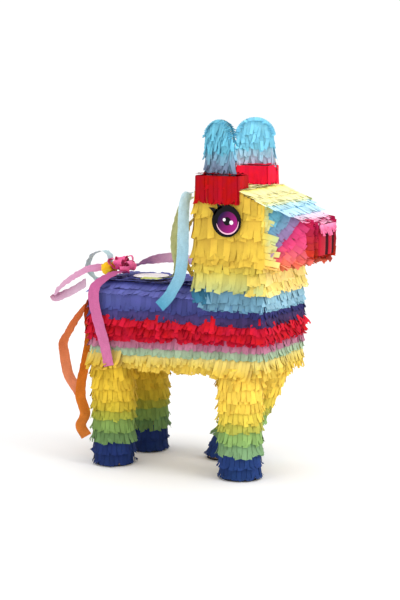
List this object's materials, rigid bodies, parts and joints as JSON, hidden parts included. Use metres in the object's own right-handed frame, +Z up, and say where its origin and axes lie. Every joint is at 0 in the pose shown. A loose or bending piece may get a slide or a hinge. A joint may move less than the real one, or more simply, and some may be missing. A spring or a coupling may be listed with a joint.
{
  "type": "donkey pinata",
  "caption": "Donkey pinata: a hollow cardboard shell on tube legs under bands of tissue fringe, with crepe streamers, printed eyes and a fill flap in its back.",
  "frame": {"origin": "on the floor, at the middle of the whole object seen from above", "axes": "+X towards the nose, +Y towards the animal's left, +Z up"},
  "size_m": [0.4548, 0.1814, 0.523],
  "materials": {
    "cardboard": "matte",
    "hoof_card": "matte",
    "washer_card": "matte",
    "tissue_yellow": "matte",
    "tissue_pale_yellow": "matte",
    "tissue_navy": "matte",
    "tissue_red": "matte",
    "tissue_pink": "matte",
    "tissue_hot_pink": "matte",
    "tissue_mint": "matte",
    "tissue_green": "matte",
    "tissue_blue": "matte",
    "tissue_lilac": "matte",
    "crepe_pink": "matte",
    "crepe_magenta": "matte",
    "crepe_pale_pink": "matte",
    "crepe_orange": "matte",
    "crepe_yellow": "matte",
    "crepe_blue": "matte",
    "crepe_green": "matte",
    "printed_eye": "satin",
    "label_paper": "satin"
  },
  "bodies": {
    "shell": {"side_right": "cardboard", "side_left": "cardboard", "back_panel": "cardboard", "belly_panel": "cardboard", "rump_panel": "cardboard", "chest_panel": "cardboard", "neck_back_panel": "cardboard", "crown_panel": "cardboard", "snout_top": "cardboard", "snout_bottom": "cardboard", "cheek_right": "cardboard", "cheek_left": "cardboard", "muzzle_end": "cardboard", "leg_rear_right": "cardboard", "leg_rear_left": "cardboard", "leg_front_right": "cardboard", "leg_front_left": "cardboard", "hoof_rear_right": "hoof_card", "hoof_rear_left": "hoof_card", "hoof_front_right": "hoof_card", "hoof_front_left": "hoof_card", "ear_right": "cardboard", "ear_left": "cardboard", "eye_right": "printed_eye", "eye_left": "printed_eye", "hanging_washer": "washer_card", "tissue_body_navy": "tissue_navy", "tissue_body_red": "tissue_red", "tissue_body_pink": "tissue_pink", "tissue_body_mint": "tissue_mint", "tissue_body_yellow": "tissue_yellow", "tissue_back": "tissue_navy", "tissue_neck_blue": "tissue_blue", "tissue_neck_green": "tissue_green", "tissue_head_yellow": "tissue_yellow", "tissue_crown": "tissue_pale_yellow", "tissue_snout_blue": "tissue_blue", "tissue_snout_lilac": "tissue_lilac", "tissue_snout_pink": "tissue_hot_pink", "muzzle_face": "tissue_red", "tissue_ear_red_right": "tissue_red", "tissue_ear_red_left": "tissue_red", "tissue_ear_blue_right": "tissue_blue", "tissue_ear_blue_left": "tissue_blue", "tissue_leg_yellow": "tissue_yellow", "tissue_leg_green": "tissue_green", "tissue_leg_navy": "tissue_navy", "tail_bow": "crepe_magenta", "tail_knot": "crepe_yellow", "streamer_side_pink": "crepe_pink", "streamer_rear_pink": "crepe_pink", "streamer_back_pink": "crepe_pale_pink", "streamers_orange": "crepe_orange", "streamer_tail_blue": "crepe_blue", "mane_blue": "crepe_blue", "mane_green": "crepe_green", "mane_yellow": "crepe_yellow"},
    "flap": {"fill_flap": "cardboard", "tissue_flap": "tissue_navy", "fill_label": "label_paper"}
  },
  "joints": [
    {"name": "fill_flap_hinge", "type": "hinge", "parent": "shell", "child": "flap", "pos_m": [-0.02284, 0, 0.277], "axis": [0, 1, 0], "range_deg": [0, 95]}
  ]
}
